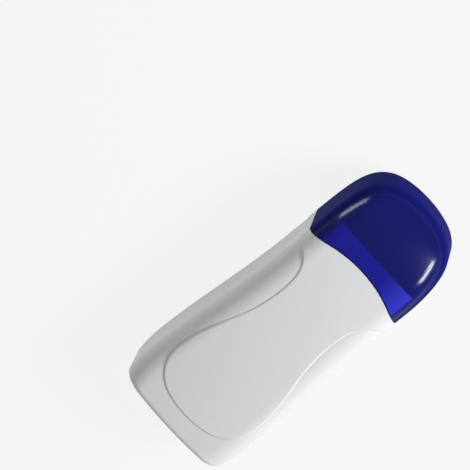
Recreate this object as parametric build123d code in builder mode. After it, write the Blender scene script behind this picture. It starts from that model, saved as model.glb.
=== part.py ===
from build123d import *

import os

# Roll-on wax heater: a white two-shell housing with a heated bay, a blue lid over the neck,
# and the wax cartridge that sits in the bay. It lies on its flat back.
# X runs across the width, Y along the length towards the lid, Z from the back to the front.
# All sizes are in millimetres.

os.makedirs("parts", exist_ok=True)

# ---------------------------------------------------------------------------------------
# Driving dimensions: housing and lid
# ---------------------------------------------------------------------------------------
housing_length = 127.5      # base end to the lid joint, measured at the sides
lid_length = 48.5           # lid joint at the sides to the top of the dome
thickness = 50.0            # back to front, on the centre line
neck_width = 65.0           # straight part around the lid joint
bulge_width = 73.0          # widest place, near the base
base_width = 68.0           # across the base corners
bulge_height = 29.0         # widest place, above the base end
neck_height = 107.0         # where the straight neck begins, above the base end
base_bow = 1.6              # how far the base end bows out between its corners
base_taper = 0.35           # how fast the flanks widen above the base corners
base_edge_radius = 3.5
dome_start = 5.0            # above the lid joint, where the lid starts to close in
dome_corner_x = 22.5        # a point on the shoulder of the dome, from the centre line
dome_corner_drop = 5.5      # the same point, below the top of the dome
dome_front_start = 9.0      # above the lid joint, where the front starts to round down
dome_front_round = 50.0     # radius of the front over the dome, seen from the side
dome_back_start = 22.0      # above the lid joint, where the back starts to round up
dome_back_round = 60.0

wall = 1.8                  # housing shells
lid_wall = 2.0
lid_fit = 0.35              # lid to collar, all round
lid_gap = 0.3               # lid edge to housing edge
joint_rise = 8.5            # the housing's tongue rises this far into the lid at the centre
front_radius = 12.0         # shoulders of the front
back_radius = 10.0          # shoulders of the back
crown_across = 420.0        # radius of the front across the width
crown_along = 1200.0        # radius of the front along the length
crown_height = 95.0         # the front's highest line, above the base end
seam_height = 23.0          # joint of the two shells, above the back

flank_step = 0.5            # flanks stand back from the neck band by this much
panel_step = 0.7            # front panel stands proud of the flanks by this much
panel_foot = 13.0           # lowest point of the panel, above the base end
panel_bulge_width = 58.4    # widest place of the panel
panel_bulge_height = 36.0   # above the base end
panel_waist_width = 38.6
panel_waist_height = 98.0
panel_edge_radius = 1.2
neck_band = 6.0             # full-width band below the lid joint, at the sides
lip_height = 1.5            # tongue of the front shell inside the rear shell
lip_fit = 0.1
lip_end = 1.0               # the tongue stops this far below the lid joint
rib_thickness = 1.2
rib_length = 36.0           # ribs that press on the heater plate
rear_rib_half = 17.0        # ribs that carry the bay
stay_width = 5.0            # stays behind the inlet's flange

# ---------------------------------------------------------------------------------------
# Driving dimensions: cartridge and its bay
# ---------------------------------------------------------------------------------------
bottle_width = 52.0
bottle_depth = 31.0
bottle_length = 109.0
bottle_wall = 1.3
bottle_corner = 8.0
bottle_foot = 7.0           # stepped foot at the closed end
bottle_foot_step = 0.6
bottle_foot_radius = 1.5
head_width = 55.0
head_depth = 32.4
head_corner = 6.0
head_wall = 1.4
head_skirt = 13.0           # full-width skirt of the head frame
head_plug = 5.0             # plug that seals the bottle's mouth
ear_width = 52.0            # across the outsides of the ears
ear_thickness = 2.9
ear_corner = 4.0
roller_radius = 9.8
roller_height = 13.5        # roller axis above the head's lower edge
roller_pin_radius = 2.5
roller_end_gap = 0.4
roller_gap = 0.5            # roller to the bed it turns in
bed_drop = 1.5              # edge of the bed below the roller axis
socket_depth = 2.0          # sockets in the ears for the roller's pins
running_clearance = 0.05
wax_slot_length = 40.0
wax_slot_width = 9.0
cover_wall = 1.2
cover_fit = 0.35
cover_gap = 0.9             # inside of the cover to the roller
cover_tab_width = 7.7
cover_tab_drop = 2.0        # end of the tab above the head's lower edge
cover_shoulder = 2.7        # from the tab's side to the end of the swept edge
cover_waist = 9.0           # edge of the cover beside the tab, above the head's lower edge
cover_sweep = 16.0          # edge of the cover beside the ears, above the head's lower edge
wax_level = 97.0            # wax surface above the inside of the bottle's base

bay_clearance = 0.6
liner_wall = 1.5
collar_rise = 18.0          # collar top above the lid joint at the sides
collar_depth = 12.0         # collar below the lid joint at the sides
pocket_depth = 12.0         # the cartridge head sinks this far below the collar top
collar_wall = 1.6
collar_corner = 4.5
plate_fit = 0.1
bay_height = 22.5           # centre of the bay above the back

# ---------------------------------------------------------------------------------------
# Driving dimensions: heater, inlet, window and screws
# ---------------------------------------------------------------------------------------
plate_width = 32.0
plate_length = 64.0
plate_thickness = 1.2
plate_margin = 2.5          # flange around the pad that fills the liner's opening
plate_centre = 68.0         # above the base end
film_thickness = 0.3
film_margin = 2.0           # film beyond the stones
stone_width = 15.0
stone_length = 20.0
stone_thickness = 2.0
stone_gap = 3.0
stone_shift = 6.0           # stones above the middle of the plate
electrode_thickness = 0.4
electrode_tab_width = 4.0
electrode_tab_length = 5.0
clip_thickness = 0.5
clip_width = 8.0
clip_foot = 6.0             # foot of a clip, from its leg outwards
clip_clearance = 1.0        # clip leg to the film's edge
fuse_radius = 2.0
fuse_length = 12.0
fuse_drop = 8.0             # fuse axis below the stones
fuse_side = 9.5             # middle of the fuse, left of the centre line
lead_side = 19.0            # where the live lead turns in to the fuse, left of the centre line
lower_tab_side = 0.5        # electrode tabs, right of the centre line
upper_tab_side = 5.0
lead_radius = 1.0
lead_bend = 2.5
plate_screw_radius = 1.0
plate_screw_head_radius = 1.8
plate_screw_head = 0.9
plate_screw_length = 2.4

inlet_width = 19.0
inlet_height = 11.0
inlet_depth = 13.5
inlet_flange = 1.6
inlet_flange_lip = 1.5
mouth_spacing = 8.6         # between the two lobes of the figure-eight opening
mouth_radius = 3.6
mouth_depth = 9.5
pin_radius = 1.18
pin_reach = 7.0
pin_tail = 3.0
inlet_fit = 0.1
inlet_recess = 0.3
inlet_seat = 0.2            # flange to the base wall, on the centre line

window_length = 46.0
window_width = 9.0
window_centre = 74.0        # above the base end
window_lip = 1.5
window_fit = 0.05

screw_radius = 1.5
screw_length = 14.0
screw_head_radius = 2.8
screw_head = 2.0
screw_seat = 8.0            # head seat above the back
boss_radius = 3.6
boss_spacing = 46.0
boss_height = 11.0          # above the base end
post_wall = 4.0             # rear post, from the head seat to the front boss
head_room = 0.3             # screw head to its counterbore
screw_room = 0.2            # screw to the rear post's hole

# ---------------------------------------------------------------------------------------
# Places worked out from the sizes above
# ---------------------------------------------------------------------------------------
base_y = -(housing_length + lid_length) / 2
joint_y = base_y + housing_length
top_y = joint_y + lid_length
joint_peak_y = joint_y + joint_rise
joint_radius = (neck_width**2 / 4 + joint_rise**2) / (2 * joint_rise)
band_y = joint_y - neck_band
collar_top_y = joint_y + collar_rise
collar_bottom_y = joint_y - collar_depth
crown_peak_y = base_y + crown_height
base_radius = (base_width**2 / 4 + base_bow**2) / (2 * base_bow)
inner_inset = flank_step + wall
inner_front_z = thickness - panel_step - wall
overall_length = housing_length + lid_length

head_y = collar_top_y - pocket_depth
skirt_top_y = head_y + head_skirt
roller_y = head_y + roller_height
cover_inner_radius = roller_radius + cover_gap
cover_top_y = roller_y + cover_inner_radius + cover_wall
ear_inner_x = ear_width / 2 - ear_thickness
cover_half = ear_inner_x - cover_fit
bed_top_y = roller_y - bed_drop
bottle_bottom_y = head_y - bottle_length
bay_front_z = bay_height + bottle_depth / 2 + bay_clearance
bay_back_z = bay_height - bottle_depth / 2 - bay_clearance
liner_bottom_y = bottle_bottom_y - bay_clearance - liner_wall
liner_front_z = bay_front_z + liner_wall
liner_back_z = bay_back_z - liner_wall

plate_y = base_y + plate_centre
flange_front_z = liner_front_z + plate_thickness
film_front_z = flange_front_z + film_thickness
stone_back_z = film_front_z + electrode_thickness
stone_front_z = stone_back_z + stone_thickness
clip_back_z = stone_front_z + electrode_thickness
stones_y = plate_y + stone_shift
stack_length = 2 * stone_length + stone_gap
stack_bottom_y = stones_y - stack_length / 2
tab_end_y = stack_bottom_y - electrode_tab_length
fuse_y = stack_bottom_y - fuse_drop
fuse_z = flange_front_z + fuse_radius
clip_leg_x = stone_width / 2 + film_margin + clip_clearance
plate_screw_x = clip_leg_x + (clip_foot + clip_thickness) / 2
window_y = base_y + window_centre
boss_y = base_y + boss_height
post_top = screw_seat + post_wall
inlet_back_y = base_y + inlet_depth
tail_end_y = inlet_back_y + pin_tail
lead_rise_y = liner_bottom_y - lead_radius - 1.3


# ---------------------------------------------------------------------------------------
# Shared outlines and forms
# ---------------------------------------------------------------------------------------
def parallel_points(curve, amount, count=9):
    """Points along a plane curve, moved to its left by amount."""
    points = []
    for step in range(count):
        spot = curve @ (step / (count - 1))
        way = curve % (step / (count - 1))
        points.append((spot.X - amount * way.Y, spot.Y + amount * way.X))
    return points


def front_outline(inset):
    """Housing and lid seen from the front, run on past the base end and moved in by inset."""
    run_on = 2 * back_radius
    with BuildSketch() as plan:
        with BuildLine():
            flank = Spline(
                (base_width / 2, base_y),
                (bulge_width / 2, base_y + bulge_height),
                (neck_width / 2, base_y + neck_height),
                tangents=[(base_taper, 1), (0, 1)],
                mode=Mode.PRIVATE,
            )
            dome = Spline(
                (neck_width / 2, joint_y + dome_start),
                (dome_corner_x, top_y - dome_corner_drop),
                (0, top_y),
                tangents=[(0, 1), (-1, 0)],
                mode=Mode.PRIVATE,
            )
            side = Spline(*parallel_points(flank, inset), tangents=[(base_taper, 1), (0, 1)])
            top = Spline(*parallel_points(dome, inset), tangents=[(0, 1), (-1, 0)])
            Line(side @ 1, top @ 0)
            foot = (side @ 0) - Vector(base_taper, 1) * run_on
            Polyline(side @ 0, foot, (0, foot.Y))
            mirror(about=Plane.YZ)
        make_face()
    return plan.sketch


def base_disc(inset):
    """A disc whose lower rim is the bowed base end, moved in by inset."""
    with BuildSketch() as disc:
        with Locations((0, base_y + base_radius)):
            Circle(base_radius - inset)
    return disc.sketch


def dome_slope(front):
    """Everything under the front where it rounds down, in side view, to the top of the dome."""
    half = bulge_width * 0.7
    edge_drop = crown_across - (crown_across**2 - half**2) ** 0.5
    radius = dome_front_round - thickness + front
    lean = (joint_y + dome_front_start - crown_peak_y) / crown_along
    upright = (1 - lean**2) ** 0.5
    start = Plane(
        origin=(0, joint_y + dome_front_start, front + crown_along * (upright - 1)),
        x_dir=(1, 0, 0),
        z_dir=(0, upright, -lean),
    )
    with BuildPart() as slope:
        with BuildSketch(start):
            with BuildLine():
                ridge = ThreePointArc((-half, edge_drop), (0, 0), (half, edge_drop))
                Polyline(ridge @ 1, (half, radius), (-half, radius), ridge @ 0)
            make_face()
        turning_point = start.from_local_coords(Vector(0, radius, 0))
        revolve(axis=Axis(turning_point, (-1, 0, 0)), revolution_arc=180)
        with BuildSketch(start):
            Rectangle(2 * half, 4 * thickness)
        extrude(amount=-2 * overall_length)
    return slope.part


def pebble(inset, back, front, back_edge, front_edge, base_edge):
    """The rounded outer form: the front outline between two depths, crowned in front."""
    half = bulge_width * 0.7
    edge_z = front - crown_across + (crown_across**2 - half**2) ** 0.5
    axis_z = front - crown_along
    with BuildPart() as form:
        with BuildSketch(Plane.XY.offset(back)):
            add(front_outline(inset))
        extrude(amount=thickness + 5)
        with BuildSketch(Plane.XZ.offset(-crown_peak_y)):
            with BuildLine():
                crown = ThreePointArc((-half, edge_z), (0, front), (half, edge_z))
                Polyline(crown @ 1, (half, axis_z), (-half, axis_z), crown @ 0)
            make_face()
        revolve(axis=Axis((0, crown_peak_y, axis_z), (1, 0, 0)), mode=Mode.INTERSECT)
        add(dome_slope(front), mode=Mode.INTERSECT)
        with BuildSketch(Plane.YZ.offset(-half)):
            with BuildLine():
                rise = CenterArc((joint_y + dome_back_start, dome_back_round),
                                 dome_back_round - back, -90, 90)
                Polyline(rise @ 1, ((rise @ 1).X, 2 * thickness), (-overall_length, 2 * thickness),
                         (-overall_length, back), rise @ 0)
            make_face()
        extrude(amount=2 * half, mode=Mode.INTERSECT)
        rims = form.edges().filter_by(
            lambda e: e.bounding_box().size.Y > 2 and (e @ 0.5).Y > base_y
        )
        fillet(rims.filter_by(lambda e: (e @ 0.5).Z < seam_height), back_edge)
        rims = form.edges().filter_by(
            lambda e: e.bounding_box().size.Y > 2 and (e @ 0.5).Y > base_y
        )
        fillet(rims.filter_by(lambda e: (e @ 0.5).Z > seam_height), front_edge)
        with BuildSketch(Plane.XY.offset(back)):
            add(base_disc(max(inset - flank_step, 0)))
        extrude(amount=thickness + 5, mode=Mode.INTERSECT)
        fillet(form.faces().sort_by(Axis.Y)[0].edges(), base_edge)
    return form.part


def inset_pebble(inset, back, front):
    """The same form inside a skin: its edges are rounded less by the skin's thickness."""
    base_edge = max(base_edge_radius - back, 0.5)
    return pebble(inset, back, front, back_radius - inset, front_radius - inset, base_edge)


def below_joint(gap):
    """Everything on the housing's side of the curved lid joint, moved towards the lid by gap."""
    centre_y = joint_peak_y - joint_radius
    with BuildPart() as side:
        with BuildSketch(Plane.XY.offset(-1)):
            with Locations((0, centre_y)):
                Circle(joint_radius + gap)
            with Locations((0, centre_y)):
                Rectangle(
                    2 * (joint_radius + gap), overall_length, align=(Align.CENTER, Align.MAX)
                )
        extrude(amount=thickness + 2)
    return side.part


def slab(y_low, y_high, z_low=0.0, z_high=thickness):
    """Everything between two heights along the length and two depths."""
    with BuildPart() as block:
        with BuildSketch(Plane.XY.offset(z_low)):
            with Locations((0, (y_low + y_high) / 2)):
                Rectangle(2 * bulge_width, y_high - y_low)
        extrude(amount=z_high - z_low)
    return block.part


def rounded_bar(width, depth, corner, y_low, y_high):
    """A bar along the length with rounded long edges, centred on the bay."""
    with BuildPart() as bar:
        with BuildSketch(Plane.XZ.offset(-y_low)):
            with Locations((0, bay_height)):
                RectangleRounded(width, depth, corner)
        extrude(amount=y_low - y_high)
    return bar.part


def wall_outline(inset):
    """The side walls between the front and back shoulders, cut flat and moved in by inset."""
    with BuildSketch() as line:
        add(front_outline(inset))
        add(base_disc(inset - flank_step), mode=Mode.INTERSECT)
        fillet(line.vertices().sort_by(Axis.Y)[:2], base_edge_radius - inset + flank_step)
    return line.sketch


def block(x_low, x_high, y_low, y_high, z_low, z_high):
    """A plain block between six planes."""
    with BuildPart() as box:
        with BuildSketch(Plane.XY.offset(z_low)):
            with Locations(((x_low + x_high) / 2, (y_low + y_high) / 2)):
                Rectangle(x_high - x_low, y_high - y_low)
        extrude(amount=z_high - z_low)
    return box.part


def rod_across(radius, x_low, x_high, y, z):
    """A round rod across the width."""
    with BuildPart() as rod:
        with BuildSketch(Plane.YZ.offset(x_low)):
            with Locations((y, z)):
                Circle(radius)
        extrude(amount=x_high - x_low)
    return rod.part


def rods_in_depth(radius, places, z_low, z_high):
    """Round rods from the back towards the front, at places in the front view."""
    with BuildPart() as rods:
        with BuildSketch(Plane.XY.offset(z_low)):
            with Locations(*places):
                Circle(radius)
        extrude(amount=z_high - z_low)
    return rods.part


def inlet_bar(width, height, corner, y_low, y_high):
    """A rounded bar along the length, centred on the inlet."""
    with BuildPart() as bar:
        with BuildSketch(Plane.XZ.offset(-y_low)):
            with Locations((0, seam_height)):
                RectangleRounded(width, height, corner)
        extrude(amount=y_low - y_high)
    return bar.part


def window_bar(grow, z_low, z_high):
    """The window's stadium outline, grown all round, between two depths."""
    with BuildPart() as bar:
        with BuildSketch(Plane.XY.offset(z_low)):
            with Locations((0, window_y)):
                SlotOverall(window_length + 2 * grow, window_width + 2 * grow, rotation=90)
        extrude(amount=z_high - z_low)
    return bar.part


def plate_bar(grow, corner, z_low, z_high):
    """The heater pad's outline, grown all round, between two depths."""
    with BuildPart() as bar:
        with BuildSketch(Plane.XY.offset(z_low)):
            with Locations((0, plate_y)):
                RectangleRounded(plate_width + 2 * grow, plate_length + 2 * grow, corner)
        extrude(amount=z_high - z_low)
    return bar.part


def head_profile(inset):
    """Side view of the cartridge head: round over the roller, flat faces down to the rim."""
    with BuildSketch() as side:
        with Locations((roller_y, bay_height)):
            Circle(cover_inner_radius + cover_wall - inset)
        with Locations((head_y, bay_height)):
            Rectangle(
                head_skirt - inset, head_depth - 2 * inset, align=(Align.MIN, Align.CENTER)
            )
        make_hull()
    return side.sketch


def head_bar(inset, half):
    """The head's side view run across the width to half on either side, its corners rounded."""
    with BuildPart() as bar:
        with BuildSketch(Plane.YZ.offset(-half)):
            add(head_profile(inset))
        extrude(amount=2 * half)
        add(rounded_bar(ear_width - 2 * inset, head_depth - 2 * inset, ear_corner - inset,
                        head_y, cover_top_y + 1), mode=Mode.INTERSECT)
    return bar.part


def flap_bar(fit):
    """Front view of the cover, grown by fit: edges that sweep in from the ears to a tab."""
    tab_half = cover_tab_width / 2
    with BuildPart() as bar:
        with BuildSketch():
            with BuildLine():
                sweep_in = Spline(
                    (cover_half, head_y + cover_sweep + 1.5),
                    (cover_half * 0.78, head_y + cover_sweep - 3.1),
                    (cover_half * 0.37, head_y + cover_waist),
                    (tab_half + cover_shoulder, head_y + cover_waist - 2.4),
                    tangents=[(0, -1), (-0.35, -1)],
                    mode=Mode.PRIVATE,
                )
                edge = Spline(
                    *parallel_points(sweep_in, fit, 25), tangents=[(0, -1), (-0.35, -1)]
                )
                Polyline(
                    edge @ 1,
                    (tab_half + fit, (edge @ 1).Y),
                    (tab_half + fit, head_y + cover_tab_drop - fit),
                    (0, head_y + cover_tab_drop - fit),
                )
                Polyline(edge @ 0, ((edge @ 0).X, cover_top_y + 1), (0, cover_top_y + 1))
                mirror(about=Plane.YZ)
            make_face()
        extrude(amount=thickness)
    return bar.part


def lead(*points):
    """A round insulated lead along straight runs with rounded bends."""
    with BuildPart() as wire:
        with BuildLine() as path:
            FilletPolyline(*points, radius=lead_bend)
        with BuildSketch(Plane(origin=path.line @ 0, z_dir=path.line % 0)):
            Circle(lead_radius)
        sweep()
    return wire.part


# ---------------------------------------------------------------------------------------
# Housing: the raised front panel, the neck band and the flanks, cut into two shells
# ---------------------------------------------------------------------------------------
outer_form = pebble(0, 0, thickness, back_radius, front_radius, base_edge_radius)
flank_form = pebble(
    flank_step, 0, thickness - panel_step, back_radius, front_radius, base_edge_radius
)
inner_form = inset_pebble(inner_inset, wall, inner_front_z)
housing_side = below_joint(0)

with BuildPart() as panel:
    with BuildSketch(Plane.XY.offset(seam_height)):
        with BuildLine() as contour:
            edge = Spline(
                (0, base_y + panel_foot),
                (panel_bulge_width / 2, base_y + panel_bulge_height),
                (panel_waist_width / 2, base_y + panel_waist_height),
                (bulge_width / 2, band_y),
                tangents=[(1, 0), (0, 1), (0, 1), (1, 0)],
            )
            Polyline(edge @ 1, (bulge_width / 2, top_y), (0, top_y))
            mirror(about=Plane.YZ)
        make_face()
    extrude(amount=thickness)
    add(outer_form, mode=Mode.INTERSECT)
    rolled_edge = panel.edges().filter_by(
        lambda e: (e @ 0.5).Z > seam_height + 0.1 and (e @ 0.5).Y < band_y + 0.01
        and contour.line.distance_to(Vertex((e @ 0.5).X, (e @ 0.5).Y, 0)) < 0.01
    )
    fillet(rolled_edge, panel_edge_radius)

with BuildPart() as housing:
    add(flank_form)
    add(panel.part)
    add(outer_form & slab(band_y, top_y, 0, seam_height))
    add(housing_side, mode=Mode.INTERSECT)
    add(inner_form, mode=Mode.SUBTRACT)

boss_places = [(-boss_spacing / 2, boss_y), (boss_spacing / 2, boss_y)]
inlet_opening = inlet_bar(
    inlet_width + 2 * inlet_fit, inlet_height + 2 * inlet_fit, 2, base_y - 1, base_y + 2 * wall
)
stay_x = inlet_width / 2 + 2 * inlet_fit + inlet_flange_lip + rib_thickness
flange_y = base_y + wall + inlet_seat
stay_y = flange_y + inlet_flange + rib_thickness / 2
rib_x = plate_width / 2 + plate_margin - rib_thickness / 2
rear_rib_low_y = window_y - window_length / 2 - 14
rear_rib_high_y = window_y + window_length / 2 + 8

with BuildPart() as front_fittings:
    add(rods_in_depth(boss_radius, boss_places, post_top, thickness))
    with BuildSketch(Plane.XY.offset(flange_front_z)):
        with Locations((-rib_x, plate_y), (rib_x, plate_y)):
            Rectangle(rib_thickness, rib_length)
    extrude(amount=thickness - flange_front_z)
    with BuildSketch(Plane.XY.offset(seam_height)):
        with Locations((-stay_x, stay_y), (stay_x, stay_y)):
            Rectangle(stay_width, rib_thickness)
    extrude(amount=thickness - seam_height)
    add(flank_form, mode=Mode.INTERSECT)

with BuildPart() as front_shell:
    add(housing.part)
    split(bisect_by=Plane.XY.offset(seam_height), keep=Keep.TOP)
    add(front_fittings.part)
    with BuildSketch(Plane.XY.offset(seam_height)):
        add(wall_outline(flank_step + wall / 2 + lip_fit))
        add(wall_outline(inner_inset), mode=Mode.SUBTRACT)
        with Locations((0, joint_y - lip_end)):
            Rectangle(2 * bulge_width, overall_length, align=(Align.CENTER, Align.MIN),
                      mode=Mode.SUBTRACT)
    extrude(amount=-lip_height)
    add(inlet_opening, mode=Mode.SUBTRACT)
    add(rods_in_depth(screw_radius, boss_places, post_top, screw_seat + screw_length + 1),
        mode=Mode.SUBTRACT)

with BuildPart() as rear_fittings:
    add(rods_in_depth(boss_radius + head_room + 0.9, boss_places, 0, post_top))
    with BuildSketch():
        with Locations((-stay_x, stay_y), (stay_x, stay_y)):
            Rectangle(stay_width, rib_thickness)
    extrude(amount=seam_height)
    with BuildSketch():
        with Locations((0, rear_rib_low_y), (0, rear_rib_high_y)):
            Rectangle(2 * rear_rib_half, rib_thickness)
    extrude(amount=liner_back_z)
    add(flank_form, mode=Mode.INTERSECT)

with BuildPart() as rear_shell:
    add(housing.part)
    split(bisect_by=Plane.XY.offset(seam_height), keep=Keep.BOTTOM)
    add(rear_fittings.part)
    with BuildSketch(Plane.XY.offset(seam_height)):
        add(wall_outline(flank_step + wall / 2))
        with Locations((0, joint_y - lip_end + lip_fit)):
            Rectangle(2 * bulge_width, overall_length, align=(Align.CENTER, Align.MIN),
                      mode=Mode.SUBTRACT)
    extrude(amount=-lip_height - lip_fit, mode=Mode.SUBTRACT)
    add(inlet_opening, mode=Mode.SUBTRACT)
    add(window_bar(0, -1, 2 * wall), mode=Mode.SUBTRACT)
    add(rods_in_depth(screw_head_radius + head_room, boss_places, -1, screw_seat),
        mode=Mode.SUBTRACT)
    add(rods_in_depth(screw_radius + screw_room, boss_places, 0, post_top + 1),
        mode=Mode.SUBTRACT)

# ---------------------------------------------------------------------------------------
# Lid: the same outer form above the curved joint, hollowed
# ---------------------------------------------------------------------------------------
with BuildPart() as lid:
    add(outer_form)
    add(inset_pebble(lid_wall, lid_wall, thickness - lid_wall), mode=Mode.SUBTRACT)
    add(below_joint(lid_gap), mode=Mode.SUBTRACT)

# ---------------------------------------------------------------------------------------
# Bay: a collar that carries the lid, a pocket for the cartridge's head and the heated tube
# ---------------------------------------------------------------------------------------
collar_inset = lid_wall + lid_fit
with BuildPart() as collar_space:
    add(inset_pebble(collar_inset + collar_wall, collar_inset + collar_wall,
                     inner_front_z - collar_wall - 0.1))
    add(slab(base_y - 1, collar_top_y - collar_wall, -1, thickness), mode=Mode.INTERSECT)

with BuildPart() as bay_liner:
    add(inset_pebble(collar_inset, collar_inset, inner_front_z - 0.1))
    with BuildSketch():
        with Locations((0, collar_bottom_y)):
            Rectangle(bulge_width, collar_top_y - collar_bottom_y,
                      align=(Align.CENTER, Align.MIN))
    extrude(amount=thickness, mode=Mode.INTERSECT)
    add(collar_space.part, mode=Mode.SUBTRACT)
    add(rounded_bar(bottle_width + 2 * (bay_clearance + liner_wall),
                    bottle_depth + 2 * (bay_clearance + liner_wall),
                    bottle_corner + bay_clearance + liner_wall, liner_bottom_y, collar_top_y))
    add(rounded_bar(head_width + 2 * bay_clearance, head_depth + 2 * (bay_clearance + liner_wall),
                    head_corner + bay_clearance + liner_wall, head_y - liner_wall, collar_top_y))
    with BuildSketch():
        with Locations((0, collar_top_y)):
            RectangleRounded(neck_width - 2 * collar_inset, 2 * overall_length, collar_corner,
                             align=(Align.CENTER, Align.MAX))
    extrude(amount=thickness, mode=Mode.INTERSECT)
    add(rounded_bar(bottle_width + 2 * bay_clearance, bottle_depth + 2 * bay_clearance,
                    bottle_corner + bay_clearance, liner_bottom_y + liner_wall, top_y),
        mode=Mode.SUBTRACT)
    add(rounded_bar(head_width + 2 * bay_clearance, head_depth + 2 * bay_clearance,
                    head_corner + bay_clearance, head_y, top_y), mode=Mode.SUBTRACT)
    add(plate_bar(plate_fit, 3 + plate_fit, bay_height, thickness), mode=Mode.SUBTRACT)
    add(window_bar(0, 0, bay_height), mode=Mode.SUBTRACT)

with BuildPart() as level_window:
    add(window_bar(-window_fit, inlet_recess, wall))
    add(window_bar(window_lip, wall, wall + 1.2))

# ---------------------------------------------------------------------------------------
# Heater on the front of the bay: plate, film, stones between electrodes, clips, fuse
# ---------------------------------------------------------------------------------------
clip_places = [(0, stones_y - (stone_length + stone_gap) / 2),
               (0, stones_y + (stone_length + stone_gap) / 2)]
plate_screw_places = [(side * plate_screw_x, place[1]) for side in (-1, 1) for place in clip_places]

with BuildPart() as heater_plate:
    add(plate_bar(0, 3, bay_front_z, liner_front_z))
    add(plate_bar(plate_margin, 3 + plate_margin, liner_front_z, flange_front_z))
    add(rods_in_depth(plate_screw_radius, plate_screw_places,
                      flange_front_z + clip_thickness - plate_screw_length, thickness),
        mode=Mode.SUBTRACT)

with BuildPart() as insulating_film:
    with BuildSketch(Plane.XY.offset(flange_front_z)):
        with Locations((0, stones_y)):
            Rectangle(stone_width + 2 * film_margin, stack_length + 2 * film_margin)
    extrude(amount=film_thickness)

with BuildPart() as lower_electrode:
    with BuildSketch(Plane.XY.offset(film_front_z)):
        with Locations((0, stones_y)):
            Rectangle(stone_width, stack_length)
        with Locations((lower_tab_side, tab_end_y)):
            Rectangle(electrode_tab_width, electrode_tab_length + 1,
                      align=(Align.CENTER, Align.MIN))
    extrude(amount=electrode_thickness)
    with BuildSketch(Plane.XY.offset(film_front_z)):
        with Locations((lower_tab_side, tab_end_y)):
            Rectangle(electrode_tab_width, electrode_thickness, align=(Align.CENTER, Align.MIN))
    extrude(amount=fuse_z + lead_radius - film_front_z)

with BuildPart() as upper_electrode:
    with BuildSketch(Plane.XY.offset(stone_front_z)):
        with Locations((0, stones_y)):
            Rectangle(stone_width, stack_length)
        with Locations((upper_tab_side, tab_end_y)):
            Rectangle(electrode_tab_width, electrode_tab_length + 1,
                      align=(Align.CENTER, Align.MIN))
    extrude(amount=electrode_thickness)
    with BuildSketch(Plane.XY.offset(clip_back_z)):
        with Locations((upper_tab_side, tab_end_y)):
            Rectangle(electrode_tab_width, electrode_thickness, align=(Align.CENTER, Align.MIN))
    extrude(amount=fuse_z - lead_radius - clip_back_z)

with BuildPart() as ptc_stones:
    with BuildSketch(Plane.XY.offset(stone_back_z)):
        with Locations(*clip_places):
            Rectangle(stone_width, stone_length)
    extrude(amount=stone_thickness)

with BuildPart() as spring_clips:
    for place in clip_places:
        with BuildSketch(Plane.XZ.offset(-place[1] - clip_width / 2)):
            with BuildLine():
                Polyline(
                    (0, clip_back_z),
                    (clip_leg_x, clip_back_z),
                    (clip_leg_x, flange_front_z),
                    (clip_leg_x + clip_foot, flange_front_z),
                    (clip_leg_x + clip_foot, flange_front_z + clip_thickness),
                    (clip_leg_x + clip_thickness, flange_front_z + clip_thickness),
                    (clip_leg_x + clip_thickness, clip_back_z + clip_thickness),
                    (0, clip_back_z + clip_thickness),
                )
                mirror(about=Plane.YZ)
            make_face()
        extrude(amount=clip_width)
    add(rods_in_depth(plate_screw_radius + 0.1, plate_screw_places, flange_front_z - 1,
                      flange_front_z + 2 * clip_thickness), mode=Mode.SUBTRACT)

with BuildPart() as plate_screws:
    add(rods_in_depth(plate_screw_radius, plate_screw_places,
                      flange_front_z + clip_thickness - plate_screw_length,
                      flange_front_z + clip_thickness))
    add(rods_in_depth(plate_screw_head_radius, plate_screw_places,
                      flange_front_z + clip_thickness,
                      flange_front_z + clip_thickness + plate_screw_head))

with BuildPart() as thermal_fuse:
    add(rod_across(fuse_radius, -fuse_side - fuse_length / 2, -fuse_side + fuse_length / 2,
                   fuse_y, fuse_z))

with BuildPart() as fuse_clamp:
    with BuildSketch(Plane.YZ.offset(-fuse_side - 2)):
        with Locations((fuse_y, fuse_z)):
            Circle(fuse_radius + clip_thickness)
        with Locations((fuse_y, flange_front_z)):
            Rectangle(2 * (fuse_radius + clip_thickness), fuse_radius,
                      align=(Align.CENTER, Align.MIN))
            Rectangle(2 * (fuse_radius + clip_thickness) + 4, clip_thickness,
                      align=(Align.CENTER, Align.MIN))
        with Locations((fuse_y, fuse_z)):
            Circle(fuse_radius, mode=Mode.SUBTRACT)
        with Locations((fuse_y, flange_front_z)):
            Rectangle(2 * fuse_radius, 2 * fuse_radius, mode=Mode.SUBTRACT)
            Rectangle(4 * fuse_radius, 2 * fuse_radius, align=(Align.CENTER, Align.MAX),
                      mode=Mode.SUBTRACT)
    extrude(amount=4)

# ---------------------------------------------------------------------------------------
# Mains inlet in the base end and the leads to the heater
# ---------------------------------------------------------------------------------------
mouth_end_y = base_y + inlet_recess + mouth_depth
with BuildPart() as power_inlet:
    add(inlet_bar(inlet_width, inlet_height, 2, base_y + inlet_recess, inlet_back_y))
    add(inlet_bar(inlet_width + 2 * inlet_flange_lip, inlet_height + 2 * inlet_flange_lip, 2,
                  flange_y, flange_y + inlet_flange))
    with BuildSketch(Plane.XZ.offset(-base_y)):
        with Locations((-mouth_spacing / 2, seam_height), (mouth_spacing / 2, seam_height)):
            Circle(mouth_radius)
        with Locations((0, seam_height)):
            Rectangle(mouth_spacing, 1.3 * mouth_radius)
    extrude(amount=base_y - mouth_end_y, mode=Mode.SUBTRACT)
    with BuildSketch(Plane.XZ.offset(-mouth_end_y)):
        with Locations((-mouth_spacing / 2, seam_height), (mouth_spacing / 2, seam_height)):
            Circle(pin_radius)
    extrude(amount=mouth_end_y - tail_end_y, mode=Mode.SUBTRACT)

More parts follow.
